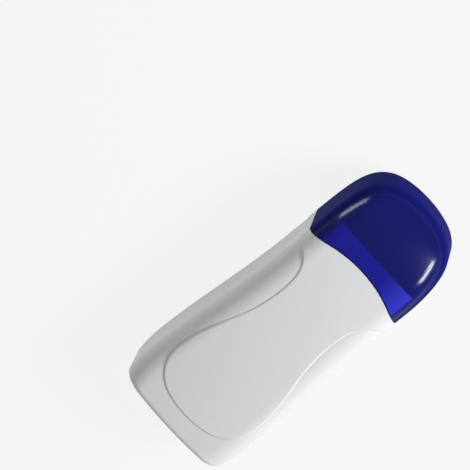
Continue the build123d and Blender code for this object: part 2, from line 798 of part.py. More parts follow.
with BuildPart() as inlet_pins:
    with BuildSketch(Plane.XZ.offset(pin_reach - mouth_end_y)):
        with Locations((-mouth_spacing / 2, seam_height), (mouth_spacing / 2, seam_height)):
            Circle(pin_radius)
    extrude(amount=mouth_end_y - pin_reach - tail_end_y)
    fillet(inlet_pins.faces().sort_by(Axis.Y)[:2].edges(), pin_radius * 0.7)

pin_x = mouth_spacing / 2
with BuildPart() as live_lead:
    add(lead((-pin_x, tail_end_y, seam_height), (-pin_x, lead_rise_y, seam_height),
             (-pin_x, lead_rise_y, fuse_z), (-pin_x, fuse_y - 15, fuse_z),
             (-lead_side, fuse_y - 8, fuse_z), (-lead_side, fuse_y, fuse_z),
             (-fuse_side - fuse_length / 2, fuse_y, fuse_z)))

with BuildPart() as neutral_lead:
    add(lead((pin_x, tail_end_y, seam_height), (pin_x, lead_rise_y, seam_height),
             (pin_x, lead_rise_y, fuse_z), (pin_x, fuse_y - 12, fuse_z),
             (upper_tab_side, fuse_y - 6, fuse_z), (upper_tab_side, tab_end_y, fuse_z)))

with BuildPart() as bridge_lead:
    add(lead((-fuse_side + fuse_length / 2, fuse_y, fuse_z), (lower_tab_side, fuse_y, fuse_z),
             (lower_tab_side, tab_end_y, fuse_z)))

with BuildPart() as housing_screws:
    add(rods_in_depth(screw_radius, boss_places, screw_seat, screw_seat + screw_length))
    add(rods_in_depth(screw_head_radius, boss_places, screw_seat - screw_head, screw_seat))
    with BuildSketch(Plane.XY.offset(screw_seat - screw_head)):
        with Locations(*boss_places):
            Rectangle(3.4, 0.8)
            Rectangle(0.8, 3.4)
    extrude(amount=screw_head / 2, mode=Mode.SUBTRACT)

# ---------------------------------------------------------------------------------------
# Cartridge: bottle, wax, head frame, roller and pull-off cover
# ---------------------------------------------------------------------------------------
plug_width = bottle_width - 2 * bottle_wall
plug_depth = bottle_depth - 2 * bottle_wall
plug_corner = bottle_corner - bottle_wall

with BuildPart() as cartridge_bottle:
    add(rounded_bar(bottle_width - 2 * bottle_foot_step, bottle_depth - 2 * bottle_foot_step,
                    bottle_corner - bottle_foot_step, bottle_bottom_y,
                    bottle_bottom_y + bottle_foot))
    fillet(cartridge_bottle.faces().sort_by(Axis.Y)[0].edges(), bottle_foot_radius)
    add(rounded_bar(bottle_width, bottle_depth, bottle_corner, bottle_bottom_y + bottle_foot,
                    head_y))
    add(rounded_bar(plug_width, plug_depth, plug_corner, bottle_bottom_y + bottle_foot, top_y),
        mode=Mode.SUBTRACT)
    add(rounded_bar(plug_width - 2 * bottle_foot_step, plug_depth - 2 * bottle_foot_step,
                    plug_corner - bottle_foot_step, bottle_bottom_y + bottle_wall, top_y),
        mode=Mode.SUBTRACT)

with BuildPart() as wax_fill:
    add(rounded_bar(plug_width, plug_depth, plug_corner, bottle_bottom_y + bottle_foot,
                    bottle_bottom_y + bottle_wall + wax_level))
    add(rounded_bar(plug_width - 2 * bottle_foot_step, plug_depth - 2 * bottle_foot_step,
                    plug_corner - bottle_foot_step, bottle_bottom_y + bottle_wall,
                    bottle_bottom_y + bottle_wall + wax_level))

with BuildPart() as head_recess:
    add(flap_bar(cover_fit))
    add(head_bar(cover_wall + cover_fit, ear_width / 2), mode=Mode.SUBTRACT)

with BuildPart() as head_space:
    add(rounded_bar(plug_width - 2 * head_wall, plug_depth - 2 * head_wall,
                    plug_corner - head_wall, head_y - head_plug - 1, bed_top_y - head_wall))
    add(rod_across(roller_radius + roller_gap + head_wall, -head_width, head_width, roller_y,
                   bay_height), mode=Mode.SUBTRACT)

with BuildPart() as head_frame:
    add(head_bar(0, ear_width / 2))
    add(rounded_bar(head_width, head_depth, head_corner, head_y, skirt_top_y))
    add(rounded_bar(plug_width, plug_depth, plug_corner, head_y - head_plug, head_y))
    add(head_recess.part, mode=Mode.SUBTRACT)
    add(rod_across(roller_radius + roller_gap, -ear_inner_x, ear_inner_x, roller_y, bay_height),
        mode=Mode.SUBTRACT)
    add(block(-ear_inner_x, ear_inner_x, bed_top_y, top_y, 0, thickness), mode=Mode.SUBTRACT)
    add(head_space.part, mode=Mode.SUBTRACT)
    add(block(-wax_slot_length / 2, wax_slot_length / 2, head_y - head_plug, roller_y,
              bay_height - wax_slot_width / 2, bay_height + wax_slot_width / 2),
        mode=Mode.SUBTRACT)
    add(rod_across(roller_pin_radius + running_clearance, -ear_inner_x - socket_depth,
                   ear_inner_x + socket_depth, roller_y, bay_height), mode=Mode.SUBTRACT)

with BuildPart() as roller:
    add(rod_across(roller_radius, -ear_inner_x + roller_end_gap, ear_inner_x - roller_end_gap,
                   roller_y, bay_height))
    fillet(roller.edges(), 0.6)
    add(rod_across(roller_pin_radius, -ear_inner_x - socket_depth + roller_end_gap,
                   ear_inner_x + socket_depth - roller_end_gap, roller_y, bay_height))

with BuildPart() as head_cover:
    add(head_bar(0, cover_half))
    add(head_bar(cover_wall, ear_width / 2), mode=Mode.SUBTRACT)
    add(flap_bar(0), mode=Mode.INTERSECT)

# ---------------------------------------------------------------------------------------
# One STEP file for each piece
# ---------------------------------------------------------------------------------------
pieces = {
    "front_shell": front_shell, "rear_shell": rear_shell, "bay_liner": bay_liner,
    "level_window": level_window, "heater_plate": heater_plate,
    "insulating_film": insulating_film, "lower_electrode": lower_electrode,
    "upper_electrode": upper_electrode, "ptc_stones": ptc_stones, "spring_clips": spring_clips,
    "plate_screws": plate_screws, "thermal_fuse": thermal_fuse, "fuse_clamp": fuse_clamp,
    "power_inlet": power_inlet, "inlet_pins": inlet_pins, "live_lead": live_lead,
    "neutral_lead": neutral_lead, "bridge_lead": bridge_lead, "housing_screws": housing_screws,
    "lid": lid, "cartridge_bottle": cartridge_bottle, "wax_fill": wax_fill,
    "head_frame": head_frame, "roller": roller, "head_cover": head_cover,
}
for name, piece in pieces.items():
    piece.part.label = name
    export_step(piece.part, f"parts/{name}.step")
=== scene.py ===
# %% [markdown]
# # A roll-on wax heater
# The heater is a white two-shell housing with a deep blue lid over its neck. A wax cartridge
# stands in the heated bay, and only its head reaches up into the lid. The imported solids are
# the frame: every piece here takes its size and place from them. Most pieces need only a
# finish. The wax gets a new mesh of its own, because its bubbles are too fine for the frame.

# %% Load the frame
import math

import bmesh
import bpy
from mathutils import Matrix, Vector


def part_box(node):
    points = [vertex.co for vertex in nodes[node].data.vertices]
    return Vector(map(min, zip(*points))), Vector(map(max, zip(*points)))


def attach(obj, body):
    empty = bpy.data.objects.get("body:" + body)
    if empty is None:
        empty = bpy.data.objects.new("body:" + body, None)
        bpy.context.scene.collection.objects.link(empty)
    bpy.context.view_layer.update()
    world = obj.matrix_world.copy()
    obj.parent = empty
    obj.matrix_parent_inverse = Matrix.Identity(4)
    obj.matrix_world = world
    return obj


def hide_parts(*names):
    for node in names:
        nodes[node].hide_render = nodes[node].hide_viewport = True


MM = 0.001
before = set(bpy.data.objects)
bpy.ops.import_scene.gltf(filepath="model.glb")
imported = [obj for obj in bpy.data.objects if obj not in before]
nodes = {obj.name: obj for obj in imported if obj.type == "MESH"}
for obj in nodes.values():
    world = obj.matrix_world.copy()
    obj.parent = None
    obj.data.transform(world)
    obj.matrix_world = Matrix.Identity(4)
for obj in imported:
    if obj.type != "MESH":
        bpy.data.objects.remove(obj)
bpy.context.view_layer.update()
scene = bpy.context.scene

# %% [markdown]
# ## The camera
# The heater is seen from its lid end and a little from its left, turned so that it leans
# across the image. The camera could be aimed by a constraint that tracks the heater, but
# then the lean would need a second object. Here its three directions come straight from
# three turns: yaw about the length, pitch towards the lid, and roll in the image.

# %% Camera directions
YAW, PITCH, ROLL = math.radians(-11.0), math.radians(19.5), math.radians(51.3)


def camera_axes(yaw, pitch, roll):
    """The camera's right, up and back directions in the heater's own axes."""
    turn = Matrix.Rotation(pitch, 3, "X") @ Matrix.Rotation(-yaw, 3, "Y")
    across, along, back = (turn.transposed() @ axis for axis in Matrix.Identity(3))
    right = math.cos(roll) * across + math.sin(roll) * along
    up = -math.sin(roll) * across + math.cos(roll) * along
    return right, up, back


right, up, back = camera_axes(YAW, PITCH, ROLL)
print("the camera looks back along", [round(v, 3) for v in back])

# %% [markdown]
# A long lens far away keeps the heater's sides nearly parallel. The heater's middle doesn't
# lie in the middle of the image. The lens could be shifted for that, but here the camera is
# turned a little instead, by the angle under which the offset is seen.

# %% Camera
IMAGE_PIXELS = 470
PIXELS_PER_MM = 1.965
TARGET = Vector((0, 0, 24 * MM))
TARGET_PIXEL = (298.4, 312.2)
DISTANCE_MM = 1600
SENSOR_MM = 36

focal_pixels = PIXELS_PER_MM * DISTANCE_MM
location = TARGET + back * DISTANCE_MM * MM
off_right = (TARGET_PIXEL[0] - IMAGE_PIXELS / 2) / focal_pixels
off_down = (TARGET_PIXEL[1] - IMAGE_PIXELS / 2) / focal_pixels
back = (back + off_right * right - off_down * up).normalized()
right = (right - right.dot(back) * back).normalized()
up = back.cross(right)
turn = Matrix((right, up, back)).transposed().to_4x4()

camera_data = bpy.data.cameras.new("camera")
camera_data.sensor_width = SENSOR_MM
camera_data.lens = focal_pixels / IMAGE_PIXELS * SENSOR_MM
camera_data.clip_start, camera_data.clip_end = 0.05, 20
camera = bpy.data.objects.new("camera", camera_data)
camera.matrix_world = Matrix.Translation(location) @ turn
scene.collection.objects.link(camera)
scene.camera = camera
print("lens in mm:", round(camera_data.lens, 1), "back:", [round(v, 3) for v in back])

# %% [markdown]
# ## Sky
# A studio has a pale sweep at the horizon and a dim ceiling. The glossy lid faces the
# ceiling, so it stays a deep blue. One even grey would be simpler, but it would turn the
# lid milky. A gradient by the height of the view direction gives both, and its lowest rays
# are nearly white, so a view from the side has a pale background.

# %% Sky
HORIZON, CEILING = 0.95, 0.17
SWEEP_START, SWEEP_END = 0.02, 0.16  # heights of the view direction
SKY_WHITE = (0.96, 0.98, 1.0, 1)

world = bpy.data.worlds.new("sky")
scene.world = world
world.use_nodes = True
sky = world.node_tree
direction = sky.nodes.new("ShaderNodeTexCoord")
height = sky.nodes.new("ShaderNodeSeparateXYZ")
rise = sky.nodes.new("ShaderNodeMapRange")
rise.interpolation_type = "SMOOTHSTEP"
rise.inputs["From Min"].default_value = SWEEP_START
rise.inputs["From Max"].default_value = SWEEP_END
rise.inputs["To Min"].default_value = HORIZON
rise.inputs["To Max"].default_value = CEILING
light = sky.nodes["Background"]
light.inputs["Color"].default_value = SKY_WHITE
sky.links.new(direction.outputs["Generated"], height.inputs[0])
sky.links.new(height.outputs["Z"], rise.inputs["Value"])
sky.links.new(rise.outputs["Result"], light.inputs["Strength"])
print("sky from", HORIZON, "at the horizon to", CEILING, "overhead")

# %% [markdown]
# ## Floor
# The heater lies on its flat back on a plain white floor. A single square is enough, laid a
# fifth of a millimetre under the heater so that the two surfaces don't fight.

# %% Floor
FLOOR_HALF = 3.0  # metres
FLOOR_DROP = 0.2 * MM

floor_mesh = bpy.data.meshes.new("floor")
corners = [(x * FLOOR_HALF, y * FLOOR_HALF, 0) for x, y in ((-1, -1), (1, -1), (1, 1), (-1, 1))]
floor_mesh.from_pydata(corners, [], [(0, 1, 2, 3)])
floor = bpy.data.objects.new("floor", floor_mesh)
floor.location.z = -FLOOR_DROP
scene.collection.objects.link(floor)
print("floor:", 2 * FLOOR_HALF, "m square, at z", round(floor.location.z / MM, 2), "mm")

# %% [markdown]
# The floor's own colour is lit like everything else, so it keeps the heater's soft shadow.
# For rays that come from the camera, or from a reflection or glass, it is mixed with plain
# white, so the background stays white there. Brighter lamps could also whiten it, but they
# would burn out the white housing first.

# %% Floor paint
FLOOR_GREY = (0.62, 0.62, 0.62, 1)
FLOOR_WHITE = 0.85  # share of plain white in what is seen

floor_paint = bpy.data.materials.new("floor_paint")
floor_paint.use_nodes = True
floor_tree = floor_paint.node_tree
ground = floor_tree.nodes["Principled BSDF"]
ground.inputs["Base Color"].default_value = FLOOR_GREY
ground.inputs["Roughness"].default_value = 0.9
white = floor_tree.nodes.new("ShaderNodeEmission")
white.inputs["Strength"].default_value = 1.0
path = floor_tree.nodes.new("ShaderNodeLightPath")
camera_or_glossy = floor_tree.nodes.new("ShaderNodeMath")
camera_or_glossy.operation = "MAXIMUM"
seen = floor_tree.nodes.new("ShaderNodeMath")
seen.operation = "MAXIMUM"
share = floor_tree.nodes.new("ShaderNodeMath")
share.operation = "MULTIPLY"
share.inputs[1].default_value = FLOOR_WHITE
surface = floor_tree.nodes.new("ShaderNodeMixShader")
for source, target in (
    (path.outputs["Is Camera Ray"], camera_or_glossy.inputs[0]),
    (path.outputs["Is Glossy Ray"], camera_or_glossy.inputs[1]),
    (camera_or_glossy.outputs[0], seen.inputs[0]),
    (path.outputs["Is Transmission Ray"], seen.inputs[1]),
    (seen.outputs[0], share.inputs[0]),
    (share.outputs[0], surface.inputs["Fac"]),
    (ground.outputs[0], surface.inputs[1]),
    (white.outputs[0], surface.inputs[2]),
    (surface.outputs[0], floor_tree.nodes["Material Output"].inputs["Surface"]),
):
    floor_tree.links.new(source, target)
floor_mesh.materials.append(floor_paint)
print("floor paint:", len(floor_tree.nodes), "nodes")

# %% [markdown]
# ## Lamps
# A lamp can light a surface, be mirrored in it, or both. The two jobs are split here, so
# that the light on the white housing and the streaks on the glossy lid can be set one by
# one. A box is aimed by building its matrix: its back looks away from its target.

# %% Soft box
def soft_box(name, target, stands, reach, run, length, width, watts, job):
    """A soft box that stands on one side of its target, at a reach, with its long side along run."""
    data = bpy.data.lights.new(name, "AREA")
    data.shape = "RECTANGLE"
    data.size, data.size_y = width, length
    data.energy = watts
    lamp = bpy.data.objects.new(name, data)
    away = Vector(stands).normalized()
    side = (Vector(run) - away * away.dot(Vector(run))).normalized()
    turn = Matrix((side.cross(away), side, away)).transposed().to_4x4()
    lamp.matrix_world = Matrix.Translation(Vector(target) + away * reach) @ turn
    lamp.visible_camera = False
    lamp.visible_glossy = job == "mirrored"
    lamp.visible_diffuse = job == "lights"
    scene.collection.objects.link(lamp)
    print(name, job, "from", [round(v, 2) for v in lamp.matrix_world.translation])


ALONG_HEATER = (0, 1, 0)
DOWN_THE_RIGHT = (0.24, -0.46, 0.27)  # along the lid's right shoulder
print("the long sides run along", ALONG_HEATER, "or", DOWN_THE_RIGHT)

# %% [markdown]
# Three wide boxes light the heater softly, mostly from its right. Small lamps would cut
# hard shadows beside the raised panel, and wide ones shade it gently.

# %% Boxes that light
soft_box("key_box", TARGET, stands=(0.53, 0.62, 0.58), reach=1.1,
         run=DOWN_THE_RIGHT, length=0.52, width=0.27, watts=11.8, job="lights")
soft_box("side_box", TARGET, stands=(0.70, -0.50, 0.50), reach=0.4,
         run=ALONG_HEATER, length=0.45, width=0.2, watts=0.24, job="lights")
soft_box("left_box", TARGET, stands=(-0.93, 0.1, 0.4), reach=1.1,
         run=ALONG_HEATER, length=0.6, width=0.3, watts=1.9, job="lights")

# %% [markdown]
# Two small strips stand close to the lid and are only mirrored: each makes one streak on a
# shoulder. Large strips far away would make the same streaks, but also a white glare over
# the whole front when the heater is seen from elsewhere. Small near ones leave one spot.

# %% Strips that are mirrored
RIGHT_SHOULDER = (0.021, 0.071, 0.043)
LEFT_SHOULDER = (-0.027, 0.067, 0.042)
STRIP_REACH = 0.07

soft_box("right_streak", RIGHT_SHOULDER, stands=(0.53, 0.61, 0.59), reach=STRIP_REACH,
         run=DOWN_THE_RIGHT, length=0.0486, width=0.0194, watts=0.075, job="mirrored")
soft_box("left_streak", LEFT_SHOULDER, stands=(-0.92, 0.30, 0.22), reach=STRIP_REACH,
         run=ALONG_HEATER, length=0.062, width=0.0215, watts=0.038, job="mirrored")

# %% [markdown]
# ## Finishes
# Moulded plastic is never quite even: its colour drifts a little, and its skin has a fine
# grain. Both could be painted on an image, but the pieces have no unwrapped surface to lay
# it on. A noise in the piece's own space needs none, and it moves with the piece.

# %% Noise
def noise(tree, size_mm, detail=2, stretch=None):
    """A noise with features of about size_mm, in the piece's own space."""
    place = tree.nodes.new("ShaderNodeTexCoord")
    texture = tree.nodes.new("ShaderNodeTexNoise")
    texture.inputs["Scale"].default_value = 1 / (size_mm * MM)
    texture.inputs["Detail"].default_value = detail
    source = place.outputs["Object"]
    if stretch:
        scaled = tree.nodes.new("ShaderNodeMapping")
        scaled.inputs["Scale"].default_value = stretch
        tree.links.new(source, scaled.inputs["Vector"])
        source = scaled.outputs["Vector"]
    tree.links.new(source, texture.inputs["Vector"])
    return texture.outputs["Fac"]


DRIFT_MM = 28
print("colour drifts over", DRIFT_MM, "mm: noise scale", round(1 / (DRIFT_MM * MM), 1), "per m")

# %% [markdown]
# Every finish of the heater is one Principled shader. The large noise mixes two shades of
# the colour, and the fine one lifts the surface by a few hundredths of a millimetre. What is
# the same all over sits on the shader's own sockets, and only what varies is linked. A Mix
# node has a set of sockets for each kind of value, so its colour sockets are named first.

# %% Finish
MIX_SHARE, MIX_FIRST, MIX_SECOND = 0, 6, 7  # inputs of a Mix node set to colours
MIX_RESULT = 2
GRAIN_HEIGHT = 0.1 * MM


def finish(name, colour, rough, drift, grain_mm, lift, stretch=None, **sockets):
    """A Principled finish: colour with a faint drift, a fine grain, and constant sockets."""
    material = bpy.data.materials.new(name)
    material.use_nodes = True
    tree = material.node_tree
    shader = tree.nodes["Principled BSDF"]
    tint = tree.nodes.new("ShaderNodeMix")
    tint.data_type = "RGBA"
    tint.inputs[MIX_FIRST].default_value = (*[c * (1 - drift) for c in colour], 1)
    tint.inputs[MIX_SECOND].default_value = (*[min(1, c * (1 + drift)) for c in colour], 1)
    tree.links.new(noise(tree, DRIFT_MM, detail=3), tint.inputs[MIX_SHARE])
    tree.links.new(tint.outputs[MIX_RESULT], shader.inputs["Base Color"])
    bump = tree.nodes.new("ShaderNodeBump")
    bump.inputs["Strength"].default_value = lift
    bump.inputs["Distance"].default_value = GRAIN_HEIGHT
    tree.links.new(noise(tree, grain_mm, stretch=stretch), bump.inputs["Height"])
    tree.links.new(bump.outputs["Normal"], shader.inputs["Normal"])
    shader.inputs["Roughness"].default_value = rough
    for socket, value in sockets.items():
        shader.inputs[socket.replace("_", " ")].default_value = value
    return material


print("grain: a bump of", GRAIN_HEIGHT / MM, "mm, times the lift that each finish asks for")

# %% [markdown]
# The pieces of the frame come in with one plain material each. Their shapes are right, so
# only that material is swapped. Pieces of the same stuff share one finish.

# %% Dress
def dress(material, *names):
    """Give pieces of the frame a finish."""
    for name in names:
        slots = nodes[name].data.materials
        slots.clear()
        slots.append(material)
    print("dressed:", ", ".join(names))


print("pieces to dress:", len(nodes))

# %% [markdown]
# ## Painting by place
# A line or a band on a moulded piece follows its shape. So it is painted by where a point
# lies in the piece's own axes, or by the way that the surface faces there, and it stays on
# the piece when that moves. These two helpers give the axes, and sums over them.

# %% Axes and sums
def axes(material, kind):
    """The x, y and z of a point's place ("Object") or facing ("Normal") in the piece's axes."""
    tree = material.node_tree
    place = tree.nodes.new("ShaderNodeTexCoord")
    split = tree.nodes.new("ShaderNodeSeparateXYZ")
    tree.links.new(place.outputs[kind], split.inputs[0])
    return split.outputs


def combine(material, operation, *sources):
    """One sum over numbers and the outputs of other nodes."""
    tree = material.node_tree
    node = tree.nodes.new("ShaderNodeMath")
    node.operation = operation
    for socket, source in zip(node.inputs, sources):
        if isinstance(source, (int, float)):
            socket.default_value = source
        else:
            tree.links.new(source, socket)
    return node.outputs[0]


print("helpers for places: axes, combine")

# %% [markdown]
# A mask is 1 where the paint lies and 0 elsewhere. A sharp step would look like a sticker,
# so a step ramps smoothly. Each new colour is laid over what the finish has so far.

# %% Soft steps and paint
def soft_step(material, source, start, end):
    """1 on start's side and 0 beyond end, with a smooth ramp between."""
    tree = material.node_tree
    ramp = tree.nodes.new("ShaderNodeMapRange")
    ramp.interpolation_type = "SMOOTHSTEP"
    for socket, value in (("From Min", start), ("From Max", end), ("To Min", 1), ("To Max", 0)):
        ramp.inputs[socket].default_value = value
    tree.links.new(source, ramp.inputs["Value"])
    return ramp.outputs["Result"]


def paint_over(material, mask, colour):
    """Lay a colour over the finish's own where the mask is 1."""
    tree = material.node_tree
    base = tree.nodes["Principled BSDF"].inputs["Base Color"]
    layer = tree.nodes.new("ShaderNodeMix")
    layer.data_type = "RGBA"
    layer.inputs[MIX_SECOND].default_value = colour
    tree.links.new(base.links[0].from_socket, layer.inputs[MIX_FIRST])
    tree.links.new(mask, layer.inputs[MIX_SHARE])
    tree.links.new(layer.outputs[MIX_RESULT], base)


print("helpers for paint: soft_step, paint_over")

# %% [markdown]
# ## Housing
# The two shells are satin white plastic. Where they meet, a hair-fine parting line runs
# round the flanks and the base end. The solids touch there, so a real groove would have to
# be cut into them. A dark line a fifth of a millimetre high at the seam's height does it.

# %% Housing finish
LIP_HEIGHT = 1.5 * MM  # the front shell's lip reaches below the seam by this much
LINE_HALF = 0.1 * MM
SEAM_GREY = (0.32, 0.32, 0.33, 1)

seam_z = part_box("front_shell")[0].z + LIP_HEIGHT
housing_white = finish("housing_white", (0.80, 0.805, 0.815), rough=0.36, drift=0.012,
                       grain_mm=0.45, lift=0.1)
housing_place = axes(housing_white, "Object")
seam = combine(housing_white, "COMPARE", housing_place["Z"], seam_z, LINE_HALF)
paint_over(housing_white, seam, SEAM_GREY)
dress(housing_white, "front_shell", "rear_shell")
print("parting line at z", round(seam_z / MM, 2), "mm")

# %% [markdown]
# ## Lid
# The lid is a deep blue plastic with a clear, glossy skin. The gloss is a clear coat and
# not the shader's main reflection, because only a coat can be made thinner in places. The
# colour underneath stays matt.

# %% Lid finish
NAVY = (0.0052, 0.0075, 0.118)

lid_blue = finish("lid_blue", NAVY, rough=0.5, drift=0.05, grain_mm=1.5, lift=0.0,
                  Specular_IOR_Level=0.0, Coat_IOR=1.42, Coat_Roughness=0.18)
lid_place = axes(lid_blue, "Object")
lid_facing = axes(lid_blue, "Normal")
dress(lid_blue, "lid")

# %% [markdown]
# The real lid lets a little light through. Where the bay's collar stands just under it,
# that light comes back, so a brighter blue band shows between the joint and the collar's
# straight upper edge. A see-through lid could show the real collar, but its two walls would
# blur it. So this light is painted into the lid's colour as a band, with one soft step at the
# collar's edge and one at its rounded ends. Towards the right, where the light comes from, a painted
# highlight brightens the band.

# %% Collar band
COLLAR_HALF = 26 * MM
EDGE_START, EDGE_END = -0.5 * MM, 0.4 * MM  # from the collar's top
ENDS_START, ENDS_END = -1 * MM, 1.5 * MM    # from its rounded ends
HIGHLIGHT_FULL, HIGHLIGHT_GONE = 24 * MM, 8 * MM      # to the right of the middle
HIGHLIGHT_SHARE = 0.8
PAINTED_COLLAR_LIGHT = (0.0095, 0.0115, 0.27, 1)
PAINTED_COLLAR_HIGHLIGHT = (0.035, 0.042, 0.6, 1)

collar_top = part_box("bay_liner")[1].y
from_middle = combine(lid_blue, "ABSOLUTE", lid_place["X"])
below_edge = soft_step(lid_blue, lid_place["Y"], collar_top + EDGE_START, collar_top + EDGE_END)
inside_ends = soft_step(lid_blue, from_middle, COLLAR_HALF + ENDS_START, COLLAR_HALF + ENDS_END)
band = combine(lid_blue, "MULTIPLY", below_edge, inside_ends)
to_the_right = soft_step(lid_blue, lid_place["X"], HIGHLIGHT_FULL, HIGHLIGHT_GONE)
painted_highlight = combine(lid_blue, "MULTIPLY", to_the_right, HIGHLIGHT_SHARE)
# painted light: the collar's light seen through the lid, and a painted highlight on its right
paint_over(lid_blue, band, PAINTED_COLLAR_LIGHT)
paint_over(lid_blue, combine(lid_blue, "MULTIPLY", band, painted_highlight), PAINTED_COLLAR_HIGHLIGHT)
print("collar edge under the lid at y", round(collar_top / MM, 2), "mm")

# %% [markdown]
# The lid's flanks stand upright on a white floor. With the full gloss they would mirror it
# and look lavender, though a real lid's flanks stay blue. So the coat thins out where the
# surface turns away from the front, and a slightly stronger blue is painted on the flanks by the way
# they face, as painted light.

# %% Lid flanks
FLANK_PAINTED_LIGHT_BLUE = (0.006, 0.009, 0.17, 1)
COAT_FRONT, COAT_FLANK = 1.0, 0.08
COAT_TURN = (0.50, 0.78)  # how far the surface faces the front: flank, front
PAINTED_LIGHT_TURN = (0.1, 0.6)

turned_away = soft_step(lid_blue, lid_facing["Z"], *COAT_TURN)
coat = combine(lid_blue, "MULTIPLY_ADD", turned_away, COAT_FLANK - COAT_FRONT, COAT_FRONT)
lid_sockets = lid_blue.node_tree.nodes["Principled BSDF"].inputs
lid_blue.node_tree.links.new(coat, lid_sockets["Coat Weight"])
# painted light: a stronger blue on the flanks, by the way the surface faces
paint_over(lid_blue, soft_step(lid_blue, lid_facing["Z"], *PAINTED_LIGHT_TURN), FLANK_PAINTED_LIGHT_BLUE)
print("coat from", COAT_FRONT, "on the front to", COAT_FLANK, "on the flanks")

# %% [markdown]
# The lid meets the housing on a curved joint: the housing's tongue rises into the lid along
# a circle. The gap there is too fine to shade well, so a line of painted shade follows the
# lid's rim. It needs only the distance from the circle's centre, which follows from the
# joint's half width and its rise.

# %% Lid rim
JOINT_RISE = 8.5 * MM
RIM_PAINTED_SHADE = (0.004, 0.004, 0.02, 1)
RIM_START, RIM_END = 0.3 * MM, 0.6 * MM  # from the joint's circle

lid_low, lid_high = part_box("lid")
joint_half = lid_high.x
joint_radius = (joint_half ** 2 + JOINT_RISE ** 2) / (2 * JOINT_RISE)
joint_centre_y = lid_low.y + JOINT_RISE - joint_radius
from_centre = combine(lid_blue, "SUBTRACT", lid_place["Y"], joint_centre_y)
across_squared = combine(lid_blue, "POWER", from_middle, 2)
along_squared = combine(lid_blue, "POWER", from_centre, 2)
distance = combine(lid_blue, "SQRT", combine(lid_blue, "ADD", across_squared, along_squared))
rim_shade = soft_step(lid_blue, distance, joint_radius + RIM_START, joint_radius + RIM_END)
# painted shade: a dark line for the shade in the fine gap at the lid's rim
paint_over(lid_blue, rim_shade, RIM_PAINTED_SHADE)
print("joint circle in mm:", round(joint_radius / MM, 2), "round y", round(joint_centre_y / MM, 2))

# %% [markdown]
# ## Bay, window and inlet
# The bay and its collar are blue, like the band that shows through the lid. The level window
# is clear plastic, so it lets light through. The inlet is black with brass pins, which were
# drawn through a die, so their grain is stretched along them.

# %% Bay, window and inlet finishes
ALONG_PIN = (1, 8, 1)

bay_blue = finish("bay_blue", (0.012, 0.018, 0.3), rough=0.3, drift=0.05, grain_mm=0.5, lift=0.08)
window_clear = finish("window_clear", (0.86, 0.91, 0.93), rough=0.04, drift=0.01, grain_mm=2.0,
                      lift=0.01, Transmission_Weight=1.0, IOR=1.49)
inlet_black = finish("inlet_black", (0.012, 0.012, 0.013), rough=0.45, drift=0.1, grain_mm=0.25,
                     lift=0.25)
pin_brass = finish("pin_brass", (0.75, 0.58, 0.30), rough=0.22, drift=0.06, grain_mm=0.15,
                   lift=0.05, stretch=ALONG_PIN, Metallic=1.0)
dress(bay_blue, "bay_liner")
dress(window_clear, "level_window")
dress(inlet_black, "power_inlet")
dress(pin_brass, "inlet_pins")

# %% [markdown]
# ## Heater metals
# The plate is cast aluminium with a coarse skin. The electrodes are soft bright aluminium
# sheet, and the clips are spring steel: both were rolled, so their grain runs one way. The
# screws are plain steel. A metal is the same finish as a plastic, with one socket changed.

# %% Heater metals
ROLLED_LONG, ROLLED_ACROSS = (1, 9, 1), (8, 1, 1)

plate_metal = finish("plate_metal", (0.60, 0.60, 0.61), rough=0.42, drift=0.06, grain_mm=0.3,
                     lift=0.3, Metallic=1.0)
electrode_metal = finish("electrode_metal", (0.72, 0.72, 0.73), rough=0.25, drift=0.04,
                         grain_mm=0.3, lift=0.1, stretch=ROLLED_LONG, Metallic=1.0)
clip_steel = finish("clip_steel", (0.42, 0.42, 0.44), rough=0.3, drift=0.08, grain_mm=0.2,
                    lift=0.15, stretch=ROLLED_ACROSS, Metallic=1.0)
screw_steel = finish("screw_steel", (0.38, 0.38, 0.4), rough=0.33, drift=0.1, grain_mm=0.2,
                     lift=0.15, Metallic=1.0)
dress(plate_metal, "heater_plate")
dress(electrode_metal, "lower_electrode", "upper_electrode")
dress(clip_steel, "spring_clips", "fuse_clamp")
dress(screw_steel, "plate_screws", "housing_screws")

# %% [markdown]
# ## Film, stones, fuse and leads
# The film that keeps the plate off the current is amber polyimide. The heating stones are
# dark ceramic with a coarse matt skin, and the fuse sits in a white ceramic tube. The leads
# are covered in brown and blue plastic, brown for the live side.

# %% Heater insulation and leads
film_amber = finish("film_amber", (0.45, 0.15, 0.01), rough=0.2, drift=0.08, grain_mm=0.8,
                    lift=0.05)
stone_grey = finish("stone_grey", (0.035, 0.036, 0.04), rough=0.7, drift=0.15, grain_mm=0.2,
                    lift=0.4)
fuse_white = finish("fuse_white", (0.68, 0.66, 0.6), rough=0.5, drift=0.05, grain_mm=0.2, lift=0.2)
lead_brown = finish("lead_brown", (0.1, 0.035, 0.012), rough=0.42, drift=0.08, grain_mm=0.3,
                    lift=0.15)
lead_blue = finish("lead_blue", (0.01, 0.045, 0.25), rough=0.42, drift=0.08, grain_mm=0.3,
                   lift=0.15)
dress(film_amber, "insulating_film")
dress(stone_grey, "ptc_stones")
dress(fuse_white, "thermal_fuse")
dress(lead_brown, "live_lead", "bridge_lead")
dress(lead_blue, "neutral_lead")

# %% [markdown]
# ## The wax and its bubbles
# The wax was poured warm, so it fills the bottle to its walls and foot, and a few bubbles
# froze against the front wall. They could be cut out of the wax with booleans, but their
# lips are soft. A grid wrapped round the bottle's section gives rows and columns of points
# to press them into. It stands a hair inside the bottle's wall, so that the two surfaces
# don't fight. The front has the most points, because the bubbles lie there.

# %% Section of the wax
WAX_CORNER = 6.7 * MM
HAIR = 0.12 * MM
CORNER_POINTS = 9
SIDE_POINTS = (80, 30, 40, 30)  # front, left, back, right

wax_low, wax_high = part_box("wax_fill")


